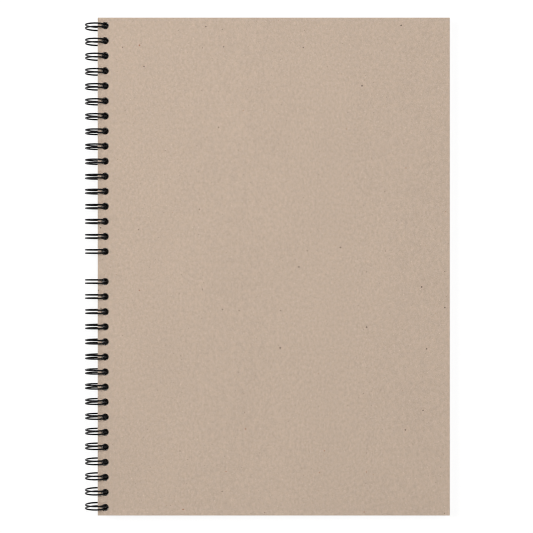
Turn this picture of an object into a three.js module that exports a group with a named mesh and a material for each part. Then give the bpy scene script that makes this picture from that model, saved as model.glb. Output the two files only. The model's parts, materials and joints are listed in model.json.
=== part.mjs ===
// An A3 sketchbook bound along its left edge with two strips of twin-loop wire.
// Millimetres. +X runs from the spine to the free edge, +Y to the head of the page, +Z up out of the front cover.
// The origin is under the middle of the whole book, on the surface it lies on.

import * as THREE from 'three';

// Page format and stack
const PAGE_WIDTH = 297;
const PAGE_HEIGHT = 420;
const BOARD_THICKNESS = 1.5;
const SHEET_THICKNESS = 0.16;
const SHEETS_PER_BLOCK = 3;
const BLOCK_COUNT = 16;
const AIR_GAP = 0.03; // left between neighbouring leaves, which are never pressed quite flat

// Punching: a hole every half inch, with the middle position left whole between the two wires
const PITCH = 12.7;
const LOOPS_PER_WIRE = 16;
const HOLE_DIAMETER = 5.8;
const HOLE_INSET = 6.3; // spine edge to hole centre
const BOARD_HOLE_SIDES = 6;
const SHEET_HOLE_SIDES = 4;

// Twin-loop wire, closed into rings
const WIRE_DIAMETER = 1.3;
const WIRE_SIDES = 5;
const RING_RADIUS = 9.1; // to the middle of the wire
const TWIN_SPACING = 2.85; // between the two wires of one loop
const LINK_BEND_RADIUS = 1.5;
const END_STUB = 3; // the half link left where a strip is cut off
const SEAM_ANGLE = THREE.MathUtils.degToRad(-68); // where the links lie, under the back cover's margin
const SEAM_GAP = 0.9; // between the tip of a closed loop and the line of the links
const RING_STEPS = 12;
const TIP_STEPS = 3;
const BEND_STEPS = 2;

// The stack hangs in the rings with its middle at the height of their axis
const RING_TO_SPINE_EDGE = 1.75;
const RING_OUTER_RADIUS = RING_RADIUS + WIRE_DIAMETER / 2;
const BLOCK_THICKNESS = SHEETS_PER_BLOCK * SHEET_THICKNESS;
const STACK_THICKNESS = 2 * BOARD_THICKNESS + BLOCK_COUNT * BLOCK_THICKNESS + (BLOCK_COUNT + 1) * AIR_GAP;
const FREE_EDGE = RING_TO_SPINE_EDGE + PAGE_WIDTH;

// The rings stand a little below the back cover, so the book leans down from them to its free edge
const LEAN = Math.asin(RING_OUTER_RADIUS / Math.hypot(FREE_EDGE, STACK_THICKNESS / 2))
  - Math.atan2(STACK_THICKNESS / 2, FREE_EDGE);
const REACH = FREE_EDGE * Math.cos(LEAN) + STACK_THICKNESS / 2 * Math.sin(LEAN);
const AXIS_X = (RING_OUTER_RADIUS - REACH) / 2;
const AXIS_Z = RING_OUTER_RADIUS;

const greyboard = new THREE.MeshStandardMaterial({ color: 0xbfad9b, roughness: 0.9, metalness: 0 });
const drawingPaper = new THREE.MeshStandardMaterial({ color: 0xf3f0e8, roughness: 0.85, metalness: 0 });
const blackWire = new THREE.MeshStandardMaterial({ color: 0x141416, roughness: 0.3, metalness: 0.2 });

// Where the holes and loops stand along the spine, from the foot to the head
const upperLoops = Array.from({ length: LOOPS_PER_WIRE }, (_, i) => (i + 1) * PITCH);
const lowerLoops = upperLoops.map((y) => -y).reverse();

// A round hole as the polygon around its circle, with flat sides facing the spine and the free edge
function holeOutline(x, y, sides) {
  const cornerRadius = HOLE_DIAMETER / 2 / Math.cos(Math.PI / sides);
  const corners = Array.from({ length: sides }, (_, i) => {
    const angle = (i + 0.5) * 2 * Math.PI / sides;
    return new THREE.Vector2(x + cornerRadius * Math.cos(angle), y + cornerRadius * Math.sin(angle));
  });
  return new THREE.Path(corners);
}

// One punched leaf or block of leaves, lying on z = 0 with the ring's axis at x = 0
function punchedPlate(thickness, holeSides) {
  const outline = new THREE.Shape([
    new THREE.Vector2(RING_TO_SPINE_EDGE, -PAGE_HEIGHT / 2),
    new THREE.Vector2(FREE_EDGE, -PAGE_HEIGHT / 2),
    new THREE.Vector2(FREE_EDGE, PAGE_HEIGHT / 2),
    new THREE.Vector2(RING_TO_SPINE_EDGE, PAGE_HEIGHT / 2),
  ]);
  const holeX = RING_TO_SPINE_EDGE + HOLE_INSET;
  outline.holes = [...lowerLoops, ...upperLoops].map((y) => holeOutline(holeX, y, holeSides));
  return new THREE.ExtrudeGeometry(outline, { depth: thickness, bevelEnabled: false });
}

// The bent wire laid out flat: x runs round the ring from the links to the tips, y along the spine.
// Each piece is a 2D curve with the number of steps it is worth.
function flatWire(loops) {
  const half = TWIN_SPACING / 2;
  const bend = LINK_BEND_RADIUS;
  const tip = 2 * Math.PI * RING_RADIUS - WIRE_DIAMETER - SEAM_GAP - half;
  const at = (x, y) => new THREE.Vector2(x, y);
  const arc = (x, y, radius, from, to) =>
    new THREE.ArcCurve(x, y, radius, from * Math.PI, to * Math.PI, to < from);
  const pieces = [];
  let start = at(0, loops[0] - half - bend - END_STUB);
  for (const y of loops) {
    pieces.push(
      { curve: new THREE.LineCurve(start, at(0, y - half - bend)), steps: 1 },
      { curve: arc(bend, y - half - bend, bend, 1, 0.5), steps: BEND_STEPS },
      { curve: new THREE.LineCurve(at(bend, y - half), at(tip, y - half)), steps: RING_STEPS },
      { curve: arc(tip, y, half, -0.5, 0.5), steps: TIP_STEPS },
      { curve: new THREE.LineCurve(at(tip, y + half), at(bend, y + half)), steps: RING_STEPS },
      { curve: arc(bend, y + half + bend, bend, 1.5, 1), steps: BEND_STEPS },
    );
    start = at(0, y + half + bend);
  }
  pieces.push({ curve: new THREE.LineCurve(start, at(0, start.y + END_STUB)), steps: 1 });
  return pieces;
}

// The flat wire rolled round the ring's axis, with every step of every piece equally long in the parameter
class RolledWire extends THREE.Curve {
  constructor(pieces) {
    super();
    this.pieces = pieces;
    this.steps = pieces.reduce((sum, piece) => sum + piece.steps, 0);
  }

  getPoint(t, target = new THREE.Vector3()) {
    let step = THREE.MathUtils.clamp(t, 0, 1) * this.steps;
    const piece = this.pieces.find(({ steps }) => {
      if (step <= steps) return true;
      step -= steps;
      return false;
    }) ?? this.pieces.at(-1);
    const flat = piece.curve.getPoint(Math.min(step / piece.steps, 1));
    const angle = SEAM_ANGLE + flat.x / RING_RADIUS;
    return target.set(RING_RADIUS * Math.cos(angle), flat.y, RING_RADIUS * Math.sin(angle));
  }

  getUtoTmapping(u) {
    return u;
  }
}

function twinLoopWire(loops) {
  const path = new RolledWire(flatWire(loops));
  const section = new THREE.Shape(Array.from({ length: WIRE_SIDES }, (_, i) => {
    const angle = 2 * Math.PI * i / WIRE_SIDES;
    return new THREE.Vector2(Math.cos(angle), Math.sin(angle)).multiplyScalar(WIRE_DIAMETER / 2);
  }));
  return new THREE.ExtrudeGeometry(section, { steps: path.steps, extrudePath: path });
}

function part(name, geometry, material) {
  const mesh = new THREE.Mesh(geometry, material);
  mesh.name = name;
  return mesh;
}

// The leaves, stacked upwards from the back cover
const leaves = new THREE.Group();
let height = -STACK_THICKNESS / 2;

function addLeaf(name, thickness, holeSides, material) {
  const leaf = part(name, punchedPlate(thickness, holeSides), material);
  leaf.position.z = height;
  leaves.add(leaf);
  height += thickness + AIR_GAP;
}

addLeaf('back_cover', BOARD_THICKNESS, BOARD_HOLE_SIDES, greyboard);
for (let block = BLOCK_COUNT; block > 0; block -= 1) {
  const last = block * SHEETS_PER_BLOCK;
  const first = last - SHEETS_PER_BLOCK + 1;
  const name = `sheets_${String(first).padStart(2, '0')}_to_${String(last).padStart(2, '0')}`;
  addLeaf(name, BLOCK_THICKNESS, SHEET_HOLE_SIDES, drawingPaper);
}
addLeaf('front_cover', BOARD_THICKNESS, BOARD_HOLE_SIDES, greyboard);
leaves.rotation.y = LEAN;

const binding = new THREE.Group();
binding.add(part('wire_upper', twinLoopWire(upperLoops), blackWire));
binding.add(part('wire_lower', twinLoopWire(lowerLoops), blackWire));

const sketchbook = new THREE.Group();
sketchbook.position.set(AXIS_X, 0, AXIS_Z);
sketchbook.add(leaves, binding);

export default sketchbook;
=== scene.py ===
"""The looks of a wire-bound sketchbook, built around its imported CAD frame.

The book's flat frame has its origin on the rings' axis: +X runs from the rings to the free edge, +Y to
the head of the page and +Z up out of the front cover. The closed book leans a little down from its rings
to its free edge, and flat_to_scene moves points of the flat frame to where the book lies.
"""

import json
import math
import random

import bmesh
import bpy
from mathutils import Matrix, Vector
from mathutils.geometry import delaunay_2d_cdt


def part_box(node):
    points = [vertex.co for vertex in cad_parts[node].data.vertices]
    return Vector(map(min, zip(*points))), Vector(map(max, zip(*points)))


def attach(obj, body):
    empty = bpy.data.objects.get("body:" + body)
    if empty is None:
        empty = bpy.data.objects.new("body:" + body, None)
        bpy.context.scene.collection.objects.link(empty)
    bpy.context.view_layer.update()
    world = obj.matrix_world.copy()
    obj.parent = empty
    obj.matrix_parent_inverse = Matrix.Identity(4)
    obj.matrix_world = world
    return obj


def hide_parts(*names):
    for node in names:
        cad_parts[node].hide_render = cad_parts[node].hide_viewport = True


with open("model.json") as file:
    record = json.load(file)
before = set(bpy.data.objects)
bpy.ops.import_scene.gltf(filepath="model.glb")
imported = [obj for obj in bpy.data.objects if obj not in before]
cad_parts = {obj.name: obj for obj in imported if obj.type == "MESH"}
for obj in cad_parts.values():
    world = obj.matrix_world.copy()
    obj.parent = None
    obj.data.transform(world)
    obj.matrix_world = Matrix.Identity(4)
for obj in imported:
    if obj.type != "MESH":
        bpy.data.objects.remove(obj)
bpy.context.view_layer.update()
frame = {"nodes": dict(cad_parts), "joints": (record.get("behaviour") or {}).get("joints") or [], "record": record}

MM = 0.001  # the scene is in metres

# Punching
PITCH = 12.7 * MM
LOOPS_PER_WIRE = 16
HOLE_RADIUS = 2.9 * MM
HOLE_INSET = 6.3 * MM  # spine edge to hole centre
BOARD_HOLE_SEGMENTS = 48
SHEET_HOLE_SEGMENTS = 24
FILL_TOLERANCE = 1e-6  # in millimetres

# Greyboard covers
BOARD_CORNER_RADIUS = 0.35 * MM
BOARD_CORNER_SEGMENTS = 5
BOARD_EDGE_ROUNDING = 0.22 * MM
BOARD_EDGE_SEGMENTS = 4
BOARD_SHARP_BEND = math.radians(40)
BACK_COVER_OFFSET = (731, 287, 0)  # in millimetres, so that the back shows another piece of the pattern

# Loose sheets
SHEETS_PER_BLOCK = 3
PAPER_SHARE = 0.9  # of the height that each sheet takes in the pile; the rest is air
SHEET_CORNER = 0.15 * MM
SHEET_TRIM = 0.3 * MM  # how far the sheets stay inside the covers at the free edge, head and foot
SHEET_SHIFT = 0.18 * MM  # how far a sheet slides on the wire, either way
SHEET_TWIST = math.radians(0.02)
SHEET_SEED = 17
PAPER_TONES = (1, 0.988, 0.976, 0.964)

# Twin-loop wire
WIRE_RADIUS = 0.67 * MM
RING_RADIUS = 9.1 * MM  # to the middle of the wire
HALF_TWIN = 1.425 * MM  # half the distance between the two wires of a loop
LINK_BEND = 1.5 * MM
END_STUB = 3 * MM
SEAM_GAP = 0.9 * MM
SEAM_ANGLE = math.radians(-68)
TIP_REACH = 2 * math.pi * RING_RADIUS - 2 * WIRE_RADIUS - SEAM_GAP - HALF_TWIN
WIRE_SIDES = 14
RING_STEPS = 44
TIP_STEPS = 12
BEND_STEPS = 6
END_ROUNDING = 0.12 * MM
WIRE_SHARP_BEND = math.radians(50)
LOOP_SWELL = 0.08 * MM  # how much one loop's radius differs from the next
LOOP_SWAY = 0.12 * MM  # how much one loop stands over to one side
WIRES = (("wire_upper", 1, 5), ("wire_lower", -1, 11))  # node, side of the middle, seed

# Where most of a noise pattern's values lie, and where nearly all of them do
NOISE_SPAN = (0.3, 0.7)
WIDE_NOISE_SPAN = (0.25, 0.75)

# Greyboard's pulp: sizes in millimetres, and how much darker or lighter each pattern makes the board
CLOUD_SIZE, CLOUD_SHADE = 30, 0.018
FLECK_SIZE, FLECK_SHADE = 2.1, 0.095
GRAIN_SIZE, GRAIN_SHADE = 0.66, 0.11
TINT_SIZE = 2.6
BOARD_WARM = (0.523, 0.408, 0.316, 1)
BOARD_COOL = (0.512, 0.405, 0.323, 1)
SPECK_DARK = (0.10, 0.072, 0.055, 1)
SPECK_RUST = (0.33, 0.13, 0.06, 1)
FIBRE_LIGHT = (0.71, 0.6, 0.48, 1)
FIBRE_DARK = (0.28, 0.21, 0.15, 1)
FIBRES = (  # direction in degrees, spacing and thickness in millimetres, tone, strength
    (35, 2.6, 0.085, FIBRE_LIGHT, 0.5),
    (-62, 3.1, 0.08, FIBRE_LIGHT, 0.42),
    (12, 4.7, 0.075, FIBRE_DARK, 0.42),
    (-28, 6.3, 0.085, FIBRE_DARK, 0.48),
)
FIBRE_STRETCH = (0.12, 1, 1)  # draws a round spot out into a fibre
FIBRE_CELL = 0.35  # cells of the spots' pattern are this share of the spacing across the fibres
FIBRE_CORE = 0.4  # of the thickness, at full strength
FIBRES_KEPT = (0.55, 0.6)  # spots whose random number is below the first are left out
FIBRE_BEND_SIZE = 10 / 3  # in millimetres, like the reach
FIBRE_BEND_REACH = (2.5, 2.5, 0)
SPECKS = (  # spacing, smallest and largest radius in millimetres, share left out, strength, tone
    (17, 0.11, 0.8, 0.55, 0.9, SPECK_DARK),
    (6.5, 0.08, 0.38, 0.5, 0.55, SPECK_DARK),
    (4.7, 0.2, 0.48, 0.5, 0.6, FIBRE_LIGHT),
)
SPECK_SIZE_POWER = 3  # the higher, the fewer of the specks are large
SPECK_RAGGEDNESS = 0.12  # in millimetres
SPECK_SOFT_RIM = 0.25  # of the radius
NOT_RUSTY = 0.86  # share of the dark specks

# The board's and sheets' sides: pressed layers, open layers and tufts. The punched holes' walls get near-black
# colours: painted shade deep in the holes.
CUT_BOARD = ((0.34, 0.27, 0.2, 1), (0.52, 0.42, 0.33, 1), FIBRE_LIGHT)
PUNCHED_BOARD_PAINTED_SHADE = ((0.08, 0.062, 0.047, 1), (0.18, 0.14, 0.105, 1), FIBRE_DARK)
# White paper's hole walls are painted dark grey: painted shade in the holes.
PUNCHED_PAPER_PAINTED_SHADE = ((0.1, 0.097, 0.09, 1), (0.22, 0.215, 0.2, 1), (0.28, 0.28, 0.28, 1))

PAPER_WHITE = (0.80, 0.785, 0.74)
PAPER_SHADE = (0.765, 0.745, 0.69)
NYLON_BLACK = (0.002, 0.002, 0.0025, 1)
NYLON_WORN = (0.012, 0.012, 0.013, 1)
STEEL_DARK = (0.32, 0.32, 0.33, 1)
STEEL_BRIGHT = (0.55, 0.55, 0.56, 1)

# Camera
CAMERA_HEIGHT = 1.07  # above the front cover, straight out of its face
VIEW_WIDTH = 0.4495  # what the picture spans at the front cover
VIEW_SIDE_STEP = 6.1 * MM  # from the cover's middle towards the spine, so that the rings fit in
VIEW_UP_STEP = 0.05 * MM
PIXEL_FILTER = 1.0  # in pixels: narrow, so that the thin wires stay crisp

# Floor, surroundings and lights
FLOOR_SIZE = 30
FLOOR_GREY = (0.215, 0.225)
FLOOR_GLOW = 0.82
PAINTED_SHADOW_FADE = 3.4 * MM  # how far under the back cover's edge the glow dies away: a painted shadow under the book
HORIZON_LIGHT = 0.86
OVERHEAD_LIGHT = 0.14
HORIZON_TOP = math.sin(math.radians(12))
OVERHEAD = math.sin(math.radians(28))
LIGHTS = (  # name, place, size, watts
    ("key_from_the_left", (-1.3, 0.3, 1.5), 0.9, 23.7),
    ("soft_from_the_head", (0.2, 1.6, 1.6), 1.3, 8.5),
    ("soft_from_the_foot", (0.1, -1.7, 1.5), 1.3, 3.5),
    ("fill_from_the_right", (1.4, 0.4, 1.6), 1.4, 15.8),
)
PAPER_BOUNCES = 12  # white leaves pass much light on into the narrow gaps between them

axis_point = Vector(frame["joints"][0]["pos_m"])
rest_face = frame["record"]["mounts"][0]["axis"]
lean = math.atan2(-rest_face[0], -rest_face[2])
flat_to_scene = Matrix.Translation(axis_point) @ Matrix.Rotation(lean, 4, "Y")
scene_to_flat = flat_to_scene.inverted()


def flat_box(node):
    """Lowest and highest corner of a CAD node in the book's flat frame."""
    corners = [scene_to_flat @ v.co for v in frame["nodes"][node].data.vertices]
    low = Vector(min(c[i] for c in corners) for i in range(3))
    high = Vector(max(c[i] for c in corners) for i in range(3))
    return low, high


# ---------------------------------------------------------------- materials


# A Mix node has sockets of the same name for each kind of value; these are the ones for colours
MIX_COLOUR_INPUTS = (6, 7)
MIX_COLOUR_OUTPUT = 2


class Graph:
    """A material's node tree. Lengths in its patterns are in millimetres of the object's own space."""

    def __init__(self, name):
        self.material = bpy.data.materials.new(name)
        self.material.use_nodes = True
        self.tree = self.material.node_tree
        self.shader = self.tree.nodes["Principled BSDF"]

    def add(self, kind, **settings):
        node = self.tree.nodes.new("ShaderNode" + kind)
        for key, value in settings.items():
            setattr(node, key, value)
        return node

    def feed(self, socket, value):
        if isinstance(value, bpy.types.NodeSocket):
            self.tree.links.new(value, socket)
        else:
            socket.default_value = value

    def millimetres(self, offset=(0, 0, 0)):
        mapping = self.add("Mapping")
        self.feed(mapping.inputs["Vector"], self.add("TexCoord").outputs["Object"])
        mapping.inputs["Scale"].default_value = (1 / MM, 1 / MM, 1 / MM)
        mapping.inputs["Location"].default_value = offset
        return mapping.outputs["Vector"]

    def turned(self, vector, angle=0.0, scale=(1, 1, 1)):
        """The pattern space turned about Z and then stretched."""
        turn = self.add("Mapping")
        self.feed(turn.inputs["Vector"], vector)
        turn.inputs["Rotation"].default_value = (0, 0, angle)
        stretch = self.add("Mapping")
        self.feed(stretch.inputs["Vector"], turn.outputs["Vector"])
        stretch.inputs["Scale"].default_value = scale
        return stretch.outputs["Vector"]

    def noise(self, vector, size, detail=2.0, roughness=0.5, output="Fac"):
        node = self.add("TexNoise")
        self.feed(node.inputs["Vector"], vector)
        self.feed(node.inputs["Scale"], 1 / size)
        self.feed(node.inputs["Detail"], detail)
        self.feed(node.inputs["Roughness"], roughness)
        return node.outputs[output]

    def spots(self, vector, spacing):
        """Distance to the nearest of a random set of points, and that point's random numbers."""
        node = self.add("TexVoronoi", voronoi_dimensions="2D")
        self.feed(node.inputs["Vector"], vector)
        self.feed(node.inputs["Scale"], 1 / spacing)
        chance = self.add("SeparateColor")
        self.feed(chance.inputs["Color"], node.outputs["Color"])
        return self.math("MULTIPLY", node.outputs["Distance"], spacing), chance.outputs

    def math(self, operation, a, b=0.0):
        node = self.add("Math", operation=operation)
        self.feed(node.inputs[0], a)
        self.feed(node.inputs[1], b)
        return node.outputs[0]

    def ranged(self, value, low, high, to_low=0.0, to_high=1.0):
        node = self.add("MapRange")
        self.feed(node.inputs["Value"], value)
        settings = {"From Min": low, "From Max": high, "To Min": to_low, "To Max": to_high}
        for name, number in settings.items():
            self.feed(node.inputs[name], number)
        return node.outputs["Result"]

    def mix(self, share, a, b):
        node = self.add("Mix", data_type="RGBA")
        self.feed(node.inputs["Factor"], share)
        for socket, colour in zip(MIX_COLOUR_INPUTS, (a, b)):
            self.feed(node.inputs[socket], colour)
        return node.outputs[MIX_COLOUR_OUTPUT]

    def sum(self, *weighted):
        """The sum of (pattern, weight) pairs."""
        terms = [self.math("MULTIPLY", pattern, weight) for pattern, weight in weighted]
        total = terms[0]
        for term in terms[1:]:
            total = self.math("ADD", total, term)
        return total

    def finish(self, colour, roughness, specular, height, depth, strength):
        """The material with its patterns joined to the shader. The relief's depth is in metres."""
        self.feed(self.shader.inputs["Base Color"], colour)
        self.feed(self.shader.inputs["Roughness"], roughness)
        self.shader.inputs["Specular IOR Level"].default_value = specular
        bump = self.add("Bump")
        self.feed(bump.inputs["Height"], height)
        self.feed(bump.inputs["Distance"], depth)
        self.feed(bump.inputs["Strength"], strength)
        self.feed(self.shader.inputs["Normal"], bump.outputs["Normal"])
        return self.material


def grey(value):
    return (value, value, value, 1)


def board_fibres(g, place, colour):
    """Fine curved fibres on a greyboard: the colour with them in, and their height."""
    warp = g.add("VectorMath", operation="MULTIPLY_ADD")
    g.feed(warp.inputs[0], g.noise(place, FIBRE_BEND_SIZE, output="Color"))
    warp.inputs[1].default_value = FIBRE_BEND_REACH
    g.feed(warp.inputs[2], place)
    height = 0.0
    for direction, spacing, thickness, tone, strength in FIBRES:
        lying = g.turned(warp.outputs[0], math.radians(direction), FIBRE_STRETCH)
        distance, chance = g.spots(lying, spacing * FIBRE_CELL)
        kept = g.ranged(chance["Red"], *FIBRES_KEPT)
        fibre = g.math("MULTIPLY", g.ranged(distance, thickness, thickness * FIBRE_CORE), kept)
        colour = g.mix(g.math("MULTIPLY", fibre, strength), colour, tone)
        height = g.math("MAXIMUM", height, fibre)
    return colour, height


def board_specks(g, place, grain, colour):
    """The colour with ragged specks of bark, old print and unground pulp in."""
    for spacing, small, large, left_out, strength, tone in SPECKS:
        distance, chance = g.spots(place, spacing)
        size = g.ranged(g.math("POWER", chance["Green"], SPECK_SIZE_POWER), 0, 1, small, large)
        raggedness = g.ranged(grain, *NOISE_SPAN, -SPECK_RAGGEDNESS, SPECK_RAGGEDNESS)
        ragged = g.math("ADD", distance, raggedness)
        depth = g.math("SUBTRACT", 1.0, g.math("DIVIDE", ragged, size))
        spot = g.math("MULTIPLY", g.math("LESS_THAN", ragged, size), g.ranged(depth, 0, SPECK_SOFT_RIM))
        spot = g.math("MULTIPLY", spot, g.math("GREATER_THAN", chance["Red"], left_out))
        if tone is SPECK_DARK:
            tone = g.mix(g.math("GREATER_THAN", chance["Blue"], NOT_RUSTY), tone, SPECK_RUST)
        colour = g.mix(g.math("MULTIPLY", spot, strength), colour, tone)
    return colour


def board_face(name, offset):
    """Recycled greyboard: pulp clouds, flecks and grain under its fibres and specks."""
    g = Graph(name)
    place = g.millimetres(offset)
    clouds = g.noise(g.turned(place, scale=(1, 0.6, 1)), CLOUD_SIZE, detail=3)
    flecks = g.noise(g.turned(place, scale=(1, 0.7, 1)), FLECK_SIZE, roughness=0.6)
    grain = g.noise(g.turned(place, scale=(1, 0.75, 1)), GRAIN_SIZE, detail=3, roughness=0.6)
    shade = g.math(
        "ADD",
        g.ranged(clouds, *NOISE_SPAN, -CLOUD_SHADE, CLOUD_SHADE),
        g.ranged(flecks, *WIDE_NOISE_SPAN, -FLECK_SHADE, FLECK_SHADE),
    )
    shade = g.math("ADD", shade, g.ranged(grain, *WIDE_NOISE_SPAN, -GRAIN_SHADE, GRAIN_SHADE))
    toned = g.add("VectorMath", operation="SCALE")
    tint = g.ranged(g.noise(place, TINT_SIZE), *NOISE_SPAN)
    g.feed(toned.inputs[0], g.mix(tint, BOARD_COOL, BOARD_WARM))
    g.feed(toned.inputs["Scale"], g.math("ADD", shade, 1.0))

    colour, fibres = board_fibres(g, place, toned.outputs[0])
    return g.finish(
        colour=board_specks(g, place, grain, colour),
        roughness=g.ranged(clouds, *NOISE_SPAN, 0.84, 0.95),
        specular=0.25,
        height=g.sum((grain, 0.7), (flecks, 0.5), (fibres, 0.35)),
        depth=0.06 * MM,
        strength=0.55,
    )


def board_edge(name, pressed, open_layer, tuft):
    """A cut or punched side in thin uneven layers, darker where it was pressed, with stray tufts. The colours
    given for the punched holes' walls are far darker than board and paper: painted shade in the holes.
    """
    g = Graph(name)
    place = g.millimetres()
    layers = g.noise(g.turned(place, scale=(0.12, 0.12, 5)), size=0.9, detail=3, roughness=0.6)
    tufts = g.noise(place, size=0.35)
    colour = g.mix(g.ranged(layers, *NOISE_SPAN), pressed, open_layer)
    return g.finish(
        colour=g.mix(g.ranged(tufts, 0.35, 0.75, to_high=0.35), colour, tuft),
        roughness=g.ranged(tufts, *NOISE_SPAN, 0.88, 0.97),
        specular=0.2,
        height=g.sum((layers, 1), (tufts, 0.6)),
        depth=0.08 * MM,
        strength=0.7,
    )


def cartridge_paper(name, tone):
    """Natural white drawing paper with a fine tooth and hardly visible pulp clouds."""
    g = Graph(name)
    place = g.millimetres()
    tooth = g.noise(place, size=0.55, detail=3, roughness=0.6)
    felt = g.noise(place, size=1.7)
    clouds = g.noise(place, size=14, detail=3)
    white, shade = (tuple(tone * part for part in paper) + (1,) for paper in (PAPER_WHITE, PAPER_SHADE))
    colour = g.mix(g.ranged(clouds, *NOISE_SPAN, to_high=0.55), white, shade)
    return g.finish(
        colour=g.mix(g.ranged(tooth, 0.3, 0.75, to_high=0.3), colour, shade),
        roughness=g.ranged(felt, *NOISE_SPAN, 0.78, 0.92),
        specular=0.3,
        height=g.sum((tooth, 1), (felt, 0.6)),
        depth=0.05 * MM,
        strength=0.45,
    )


def coated_wire():
    """Steel wire in glossy black nylon, with the slight orange peel and scuffs of the coating."""
    g = Graph("black_nylon_coated_wire")
    place = g.millimetres()
    peel = g.noise(place, size=0.45)
    scuffs = g.noise(g.turned(place, scale=(1, 3, 1)), size=2.2, detail=4, roughness=0.7)
    worn = g.ranged(scuffs, 0.62, 0.8)
    return g.finish(
        colour=g.mix(worn, NYLON_BLACK, NYLON_WORN),
        roughness=g.math("ADD", g.ranged(peel, *NOISE_SPAN, 0.2, 0.28), g.math("MULTIPLY", worn, 0.2)),
        specular=0.13,
        height=peel,
        depth=0.012 * MM,
        strength=0.5,
    )


def cut_steel():
    """The bare end of the wire, bright and ringed by the cutter."""
    g = Graph("cut_wire_end")
    rings = g.noise(g.millimetres(), size=0.25, detail=3)
    g.shader.inputs["Metallic"].default_value = 1.0
    return g.finish(
        colour=g.mix(g.ranged(rings, *NOISE_SPAN), STEEL_DARK, STEEL_BRIGHT),
        roughness=g.ranged(rings, *NOISE_SPAN, 0.3, 0.5),
        specular=0.5,
        height=rings,
        depth=0.01 * MM,
        strength=0.6,
    )


def pale_floor():
    """A white table that glows, as in a catalogue picture, except under the closed book, where its glow dies away
    as a painted shadow.
    """
    g = Graph("studio_floor")
    place = g.millimetres()
    clouds = g.ranged(g.noise(place, size=900), *NOISE_SPAN)
    g.feed(g.shader.inputs["Base Color"], g.mix(clouds, grey(FLOOR_GREY[0]), grey(FLOOR_GREY[1])))
    g.shader.inputs["Roughness"].default_value = 0.9
    g.shader.inputs["Specular IOR Level"].default_value = 0.1
    low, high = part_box("back_cover")
    middle, half = (low + high) / 2 / MM, (high - low) / 2 / MM
    position = g.add("SeparateXYZ")
    g.feed(position.inputs["Vector"], place)
    # The glow fades out just inside the back cover's outline: a painted shadow under the book.
    outside_painted_shadow = []
    for i in (0, 1):
        reach = g.math("ABSOLUTE", g.math("SUBTRACT", position.outputs[i], middle[i]))
        outside_painted_shadow.append(g.ranged(reach, half[i] - PAINTED_SHADOW_FADE / MM, half[i]))
    glow = g.math("MULTIPLY", g.math("MAXIMUM", *outside_painted_shadow), FLOOR_GLOW)
    g.shader.inputs["Emission Color"].default_value = grey(1)
    g.feed(g.shader.inputs["Emission Strength"], glow)
    return g.material


def pale_surroundings():
    """White round the horizon, so that the table has no visible end, and dimmer overhead."""
    world = bpy.data.worlds.new("studio")
    world.use_nodes = True
    nodes, links = world.node_tree.nodes, world.node_tree.links
    direction = nodes.new("ShaderNodeSeparateXYZ")
    links.new(nodes.new("ShaderNodeTexCoord").outputs["Generated"], direction.inputs["Vector"])
    fade = nodes.new("ShaderNodeMapRange")
    links.new(direction.outputs["Z"], fade.inputs["Value"])
    fade.inputs["From Min"].default_value = HORIZON_TOP
    fade.inputs["From Max"].default_value = OVERHEAD
    fade.inputs["To Min"].default_value = HORIZON_LIGHT
    fade.inputs["To Max"].default_value = OVERHEAD_LIGHT
    nodes["Background"].inputs["Color"].default_value = grey(1)
    links.new(fade.outputs["Result"], nodes["Background"].inputs["Strength"])
    return world


# ---------------------------------------------------------------- shapes


def add_object(name, mesh, materials):
    for material in materials:
        mesh.materials.append(material)
    made = bpy.data.objects.new(name, mesh)
    bpy.context.scene.collection.objects.link(made)
    return made


def make_piece(name, mesh, materials, node):
    """A visible piece that takes a CAD node's place and rides on its body, which has the same name."""
    piece = add_object(name, mesh, materials)
    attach(piece, node)
    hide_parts(node)
    return piece


def mesh_from(bm, name, place):
    bm.transform(place)
    mesh = bpy.data.meshes.new(name)
    bm.to_mesh(mesh)
    bm.free()
    return mesh


def hole_places():
    return [side * (i + 1) * PITCH for side in (-1, 1) for i in range(LOOPS_PER_WIRE)]


def page_outline(low, high, corner, segments, inset):
    """A rectangle with round corners, counter-clockwise, drawn in by inset."""
    points = []
    for turn, (x, y) in enumerate(((high.x, high.y), (low.x, high.y), (low.x, low.y), (high.x, low.y))):
        middle_x = x + (corner if x == low.x else -corner)
        middle_y = y + (corner if y == low.y else -corner)
        for i in range(segments + 1):
            angle = (turn + i / segments) * math.pi / 2
            reach = corner - inset
            points.append((middle_x + reach * math.cos(angle), middle_y + reach * math.sin(angle)))
    return points


def hole_outline(x, y, radius, segments):
    """A round hole. Each is turned a radian from the next, so that their corners don't stand in line."""
    angles = [y / PITCH + 2 * math.pi * i / segments for i in range(segments)]
    return [(x + radius * math.cos(a), y + radius * math.sin(a)) for a in angles]


def fill_between(contours):
    """Triangles between the first contour and the others, as places in the list of all their points."""
    points = [Vector(point) / MM for contour in contours for point in contour]
    owner = [number for number, contour in enumerate(contours) for _ in contour]
    edges = []
    for number, contour in enumerate(contours):
        first = owner.index(number)
        edges += [(first + i, first + (i + 1) % len(contour)) for i in range(len(contour))]
    _, _, faces, origins, _, _ = delaunay_2d_cdt(points, edges, [], 0, FILL_TOLERANCE)
    triangles = [[origins[corner][0] for corner in face] for face in faces]
    return [
        triangle for triangle in triangles
        if owner[triangle[0]] == 0 or len({owner[corner] for corner in triangle}) > 1
    ]


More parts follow.
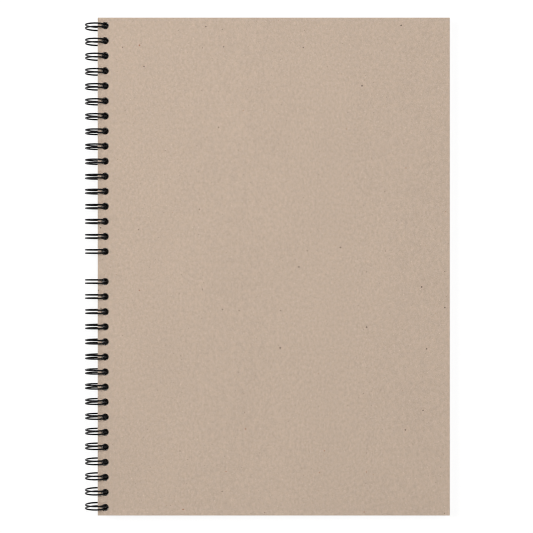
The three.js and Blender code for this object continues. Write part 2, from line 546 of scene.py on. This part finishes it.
def punched_mesh(name, outline, hole, levels, place):
    """A flat leaf with round holes.

    outline(inset) and hole(y, inset) give its contours. levels lists (inset, height) from the top face
    to the bottom face. The two faces get the first material, the outer sides the second, and the holes'
    walls the third.
    """
    bm = bmesh.new()
    contours = [outline] + [lambda inset, y=y: hole(y, inset) for y in hole_places()]
    rims = []
    for contour in contours:
        rings = [[bm.verts.new((x, y, z)) for x, y in contour(inset)] for inset, z in levels]
        rims.append(rings)
        for upper, lower in zip(rings, rings[1:]):
            for i in range(len(upper)):
                j = (i + 1) % len(upper)
                corners = (upper[i], lower[i], lower[j], upper[j])
                if contour is outline:
                    bm.faces.new(corners).material_index = 1
                else:
                    bm.faces.new(corners[::-1]).material_index = 2
    triangles = fill_between([contour(levels[0][0]) for contour in contours])
    top = [vertex for rings in rims for vertex in rings[0]]
    bottom = [vertex for rings in rims for vertex in rings[-1]]
    for triangle in triangles:
        bm.faces.new([top[corner] for corner in triangle])
        bm.faces.new([bottom[corner] for corner in reversed(triangle)])
    return mesh_from(bm, name, place)


def rounded_levels(bottom, top, rounding, segments):
    """(inset, height) from the top down, for a plate whose edges are rounded top and bottom."""
    quarter = [
        (rounding * (1 - math.sin(a)), rounding * (1 - math.cos(a)))
        for a in (math.pi / 2 * i / segments for i in range(segments + 1))
    ]
    return [(inset, top - drop) for inset, drop in quarter] + [
        (inset, bottom + drop) for inset, drop in reversed(quarter)
    ]


def smooth(mesh, sharp_bend):
    mesh.polygons.foreach_set("use_smooth", [True] * len(mesh.polygons))
    mesh.set_sharp_from_angle(angle=sharp_bend)


def make_cover(node, face):
    low, high = flat_box(node)
    hole_x = low.x + HOLE_INSET
    name = node + "_board"
    mesh = punched_mesh(
        name,
        lambda inset: page_outline(low, high, BOARD_CORNER_RADIUS, BOARD_CORNER_SEGMENTS, inset),
        lambda y, inset: hole_outline(hole_x, y, HOLE_RADIUS + inset, BOARD_HOLE_SEGMENTS),
        rounded_levels(low.z, high.z, BOARD_EDGE_ROUNDING, BOARD_EDGE_SEGMENTS),
        flat_to_scene,
    )
    smooth(mesh, BOARD_SHARP_BEND)
    cover = make_piece(name, mesh, [face, cut_board, punched_board_painted_shade], node)
    even = cover.modifiers.new("even_normals", "WEIGHTED_NORMAL")
    even.keep_sharp = True


def make_sheet(number, low, high, block, chance):
    """One loose sheet, a little out of line with its neighbours."""
    name = f"sheet_{number:02d}"
    shift = Vector((chance.uniform(-1, 1), chance.uniform(-1, 1), 0)) * SHEET_SHIFT
    twist = Matrix.Rotation(chance.uniform(-SHEET_TWIST, SHEET_TWIST), 4, "Z")
    trimmed_low = Vector((low.x, low.y + SHEET_TRIM, 0))
    trimmed_high = Vector((high.x - SHEET_TRIM, high.y - SHEET_TRIM, 0))
    hole_x = low.x + HOLE_INSET
    mesh = punched_mesh(
        name,
        lambda inset: page_outline(trimmed_low, trimmed_high, SHEET_CORNER, 1, inset),
        lambda y, inset: hole_outline(hole_x, y, HOLE_RADIUS, SHEET_HOLE_SEGMENTS),
        [(0, high.z), (0, low.z)],
        flat_to_scene @ Matrix.Translation(shift) @ twist,
    )
    paper = chance.choice(papers)
    make_piece(name, mesh, [paper, paper, punched_paper_painted_shade], block)


def make_sheets():
    chance = random.Random(SHEET_SEED)
    blocks = sorted(node for node in frame["nodes"] if node.startswith("sheets_"))
    for block_number, block in enumerate(blocks):
        low, high = flat_box(block)
        step = (high.z - low.z) / SHEETS_PER_BLOCK
        for i in range(SHEETS_PER_BLOCK):
            top = high.z - i * step
            sheet_low = Vector((low.x, low.y, top - step * PAPER_SHARE))
            sheet_high = Vector((high.x, high.y, top))
            make_sheet(block_number * SHEETS_PER_BLOCK + i + 1, sheet_low, sheet_high, block, chance)


def flat_arc(x, y, radius, start, end, steps):
    angles = [math.radians(start + (end - start) * i / steps) for i in range(steps + 1)]
    return [(x + radius * math.cos(a), y + radius * math.sin(a)) for a in angles]


def flat_line(start, end, steps):
    return [tuple(a + (b - a) * i / steps for a, b in zip(start, end)) for i in range(steps + 1)]


def flat_loop(y):
    """One loop of the bent wire laid out flat: how far round the ring, and how far along the spine."""
    near, far = y - HALF_TWIN, y + HALF_TWIN
    return (
        flat_arc(LINK_BEND, near - LINK_BEND, LINK_BEND, 180, 90, BEND_STEPS)
        + flat_line((LINK_BEND, near), (TIP_REACH, near), RING_STEPS)[1:]
        + flat_arc(TIP_REACH, y, HALF_TWIN, -90, 90, TIP_STEPS)[1:]
        + flat_line((TIP_REACH, far), (LINK_BEND, far), RING_STEPS)[1:]
        + flat_arc(LINK_BEND, far + LINK_BEND, LINK_BEND, 270, 180, BEND_STEPS)[1:]
    )


def rolled(around, along, swell, sway):
    """A point of the flat wire rolled round the rings' axis. Loops are freest halfway round."""
    freedom = math.sin(math.pi * min(max(around / (TIP_REACH + HALF_TWIN), 0), 1))
    radius = RING_RADIUS + swell * freedom
    angle = SEAM_ANGLE + around / RING_RADIUS
    return Vector((radius * math.cos(angle), along + sway * freedom, radius * math.sin(angle)))


def wire_path(loops, chance):
    first = loops[0] - HALF_TWIN - LINK_BEND
    last = loops[-1] + HALF_TWIN + LINK_BEND
    path = [rolled(0, first - END_STUB, 0, 0)]
    for y in loops:
        swell = chance.uniform(-LOOP_SWELL, LOOP_SWELL)
        sway = chance.uniform(-LOOP_SWAY, LOOP_SWAY)
        path += [rolled(around, along, swell, sway) for around, along in flat_loop(y)]
    path.append(rolled(0, last + END_STUB, 0, 0))
    return path


def tube_mesh(name, path, place):
    """The round wire along path, with its cut ends in the second material."""
    steps = [(b - a).normalized() for a, b in zip(path, path[1:])]
    tangents = [steps[0]] + [(a + b).normalized() for a, b in zip(steps, steps[1:])] + [steps[-1]]
    normal = tangents[0].orthogonal().normalized()
    stations = []
    for i, (point, tangent) in enumerate(zip(path, tangents)):
        if i:
            normal = tangents[i - 1].rotation_difference(tangent) @ normal
        normal = (normal - tangent * normal.dot(tangent)).normalized()
        stations.append((point, tangent, normal, WIRE_RADIUS))
    for end, inward in ((0, 1), (-1, -1)):
        point, tangent, normal, radius = stations[end]
        stations[end] = (point + tangent * inward * END_ROUNDING, tangent, normal, radius)
        cap = (point, tangent, normal, radius - END_ROUNDING)
        stations.insert(0 if end == 0 else len(stations), cap)
    bm = bmesh.new()
    rings = []
    for point, tangent, normal, radius in stations:
        side = tangent.cross(normal)
        turns = (2 * math.pi * i / WIRE_SIDES for i in range(WIRE_SIDES))
        rings.append([
            bm.verts.new(point + (normal * math.cos(a) + side * math.sin(a)) * radius) for a in turns
        ])
    for near, far in zip(rings, rings[1:]):
        for i in range(WIRE_SIDES):
            j = (i + 1) % WIRE_SIDES
            bm.faces.new((near[i], near[j], far[j], far[i]))
    for ring in (rings[0][::-1], rings[-1]):
        bm.faces.new(ring).material_index = 1
    return mesh_from(bm, name, place)


def make_wire(node, side, seed):
    name = node + "_twin_loops"
    loops = sorted(side * (i + 1) * PITCH for i in range(LOOPS_PER_WIRE))
    mesh = tube_mesh(name, wire_path(loops, random.Random(seed)), Matrix.Translation(axis_point))
    smooth(mesh, WIRE_SHARP_BEND)
    make_piece(name, mesh, [wire_coating, wire_end], node)


# ---------------------------------------------------------------- studio


def make_camera():
    """Squarely above the front cover, so that its sides stay parallel in the picture."""
    low, high = flat_box("front_cover")
    middle = (low + high) / 2
    place = Vector((middle.x - VIEW_SIDE_STEP, middle.y + VIEW_UP_STEP, high.z + CAMERA_HEIGHT))
    data = bpy.data.cameras.new("camera")
    data.sensor_fit = "HORIZONTAL"
    data.angle = 2 * math.atan(VIEW_WIDTH / 2 / CAMERA_HEIGHT)
    camera = bpy.data.objects.new("camera", data)
    camera.matrix_world = flat_to_scene @ Matrix.Translation(place)
    bpy.context.scene.collection.objects.link(camera)
    bpy.context.scene.camera = camera


def make_light(name, place, size, watts):
    data = bpy.data.lights.new(name, "AREA")
    data.shape = "SQUARE"
    data.size = size
    data.energy = watts
    light = bpy.data.objects.new(name, data)
    light.location = place
    light.rotation_euler = (-Vector(place)).to_track_quat("-Z", "Y").to_euler()
    bpy.context.scene.collection.objects.link(light)


def make_studio():
    floor_mesh = bpy.data.meshes.new("floor")
    half = FLOOR_SIZE / 2
    corners = [(-half, -half, 0), (half, -half, 0), (half, half, 0), (-half, half, 0)]
    floor_mesh.from_pydata(corners, [], [(0, 1, 2, 3)])
    add_object("floor", floor_mesh, [pale_floor()])
    for light in LIGHTS:
        make_light(*light)
    scene = bpy.context.scene
    scene.world = pale_surroundings()
    scene.view_settings.view_transform = "Standard"
    scene.cycles.filter_width = PIXEL_FILTER
    scene.cycles.diffuse_bounces = PAPER_BOUNCES


cut_board = board_edge("greyboard_cut_edge", *CUT_BOARD)
# The punched board's walls are painted nearly black, as painted shade deep in the holes.
punched_board_painted_shade = board_edge("greyboard_punched_edge_painted_shade", *PUNCHED_BOARD_PAINTED_SHADE)
# The paper's hole walls are painted dark grey, as painted shade in the holes.
punched_paper_painted_shade = board_edge("paper_punched_edge_painted_shade", *PUNCHED_PAPER_PAINTED_SHADE)
papers = [cartridge_paper(f"cartridge_paper_{i}", tone) for i, tone in enumerate(PAPER_TONES)]
wire_coating = coated_wire()
wire_end = cut_steel()

make_cover("front_cover", board_face("greyboard_front", (0, 0, 0)))
make_cover("back_cover", board_face("greyboard_back", BACK_COVER_OFFSET))
make_sheets()
for wire in WIRES:
    make_wire(*wire)
make_camera()
make_studio()
